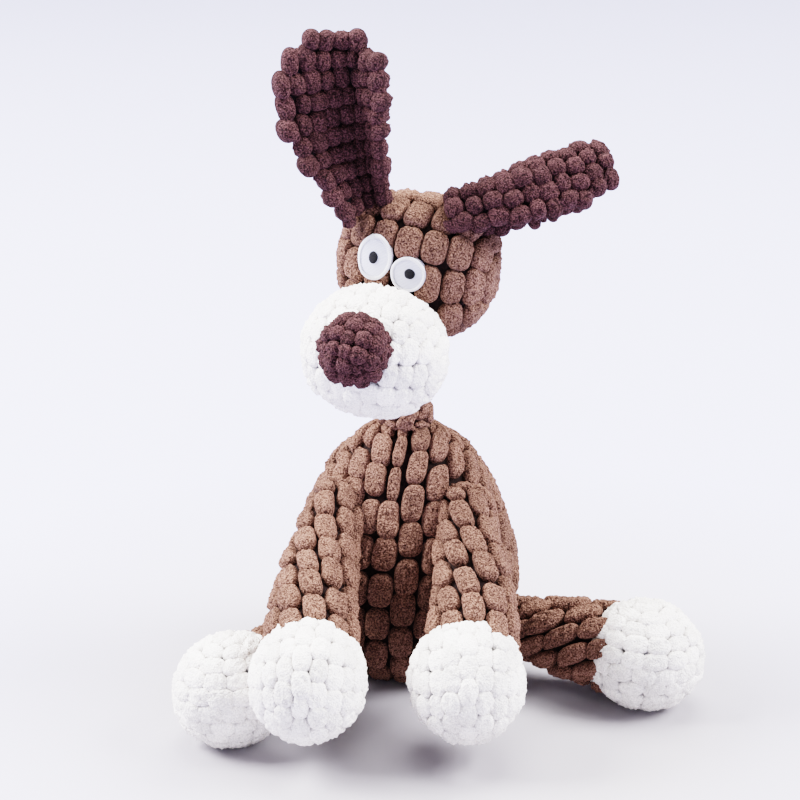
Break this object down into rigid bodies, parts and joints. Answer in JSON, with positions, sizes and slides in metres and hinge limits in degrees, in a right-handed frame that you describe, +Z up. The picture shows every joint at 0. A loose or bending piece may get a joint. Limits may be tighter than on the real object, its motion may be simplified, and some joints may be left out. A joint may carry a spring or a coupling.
{
  "type": "squeaky dog toy",
  "caption": "Seated plush puppy toy for dogs, in brown corn-kernel corduroy with white muzzle and paws, long folded ears and a press squeaker in its body.",
  "frame": {"origin": "bottom centre of the box round the toy, on the surface that it sits on", "axes": "+Z up, the toy's chest faces -Y, its own left side is +X"},
  "size_m": [0.167, 0.1444, 0.2162],
  "materials": {
    "light_brown_cloth": "corn-kernel corduroy with a short curly pile, light brown",
    "dark_brown_cloth": "popcorn corduroy with a short curly pile, dark brown",
    "white_cloth": "popcorn corduroy with a short curly pile, off-white",
    "eye_white": "satin-stitched patch, bluish white",
    "eye_black": "satin stitch, black",
    "fibre_filling": "loose polyester fibre",
    "squeaker_body": "blow-moulded soft plastic",
    "squeaker_reed": "thin translucent film"
  },
  "bodies": {
    "torso": {"torso_left_panel": "light_brown_cloth", "torso_right_panel": "light_brown_cloth", "torso_stuffing": "fibre_filling", "squeaker_cup": "squeaker_body", "squeaker_reed_tube": "squeaker_body", "squeaker_reed": "squeaker_reed"},
    "squeaker_cap": {"squeaker_cap": "squeaker_body"},
    "neck": {"neck_sleeve": "light_brown_cloth", "neck_stuffing": "fibre_filling"},
    "head": {"head_front_panel": "light_brown_cloth", "head_back_panel": "light_brown_cloth", "head_stuffing": "fibre_filling", "muzzle_skin": "white_cloth", "muzzle_stuffing": "fibre_filling", "nose_skin": "dark_brown_cloth", "nose_stuffing": "fibre_filling", "eye_patch_left": "eye_white", "pupil_left": "eye_black", "eye_patch_right": "eye_white", "pupil_right": "eye_black"},
    "ear_left": {"ear_left_inner": "dark_brown_cloth", "ear_left_outer": "dark_brown_cloth"},
    "ear_right": {"ear_right_inner": "dark_brown_cloth", "ear_right_outer": "dark_brown_cloth"},
    "front_left_leg": {"front_left_sleeve": "light_brown_cloth", "front_left_stuffing": "fibre_filling", "front_left_paw_skin": "white_cloth", "front_left_paw_stuffing": "fibre_filling"},
    "front_right_leg": {"front_right_sleeve": "light_brown_cloth", "front_right_stuffing": "fibre_filling", "front_right_paw_skin": "white_cloth", "front_right_paw_stuffing": "fibre_filling"},
    "hind_left_leg": {"hind_left_sleeve": "light_brown_cloth", "hind_left_stuffing": "fibre_filling", "hind_left_paw_skin": "white_cloth", "hind_left_paw_stuffing": "fibre_filling"},
    "hind_right_leg": {"hind_right_sleeve": "light_brown_cloth", "hind_right_stuffing": "fibre_filling", "hind_right_paw_skin": "white_cloth", "hind_right_paw_stuffing": "fibre_filling"}
  },
  "joints": [
    {"name": "squeaker_press", "type": "slide", "parent": "torso", "child": "squeaker_cap", "axis": [0, 0, -1], "range_m": [0, 0.004], "stiffness_N_per_m": 500},
    {"name": "head_turn", "type": "hinge", "parent": "torso", "child": "neck", "pos_m": [-0.01685, 0.03669, 0.0853], "axis": [0, 0, 1], "range_deg": [-40, 40], "stiffness_Nm_per_rad": 0.25},
    {"name": "head_nod", "type": "hinge", "parent": "neck", "child": "head", "pos_m": [-0.01385, 0.03669, 0.122], "axis": [0.9695, -0.1885, -0.1564], "range_deg": [-18, 20], "stiffness_Nm_per_rad": 0.25},
    {"name": "ear_right_flop", "type": "hinge", "parent": "head", "child": "ear_right", "pos_m": [-0.02585, 0.03175, 0.16099], "axis": [0.9695, -0.1885, -0.1564], "range_deg": [-20, 30], "stiffness_Nm_per_rad": 0.03},
    {"name": "ear_left_flop", "type": "hinge", "parent": "head", "child": "ear_left", "pos_m": [-0.00243, 0.02677, 0.16309], "axis": [0.1908, 0.9816, 0], "range_deg": [-25, 25], "stiffness_Nm_per_rad": 0.03},
    {"name": "shoulder_left", "type": "hinge", "parent": "torso", "child": "front_left_leg", "pos_m": [0.00479, 0.01601, 0.061], "axis": [-1, 0, 0], "range_deg": [0, 60], "stiffness_Nm_per_rad": 0.15},
    {"name": "shoulder_right", "type": "hinge", "parent": "torso", "child": "front_right_leg", "pos_m": [-0.0385, 0.01601, 0.061], "axis": [-1, 0, 0], "range_deg": [0, 55], "stiffness_Nm_per_rad": 0.15},
    {"name": "hip_left", "type": "hinge", "parent": "torso", "child": "hind_left_leg", "pos_m": [0.01799, 0.02428, 0.019], "axis": [0, 0, 1], "range_deg": [-25, 20], "stiffness_Nm_per_rad": 0.15},
    {"name": "hip_right", "type": "hinge", "parent": "torso", "child": "hind_right_leg", "pos_m": [-0.03801, 0.00636, 0.019], "axis": [0, 0, -1], "range_deg": [0, 45], "stiffness_Nm_per_rad": 0.15}
  ]
}
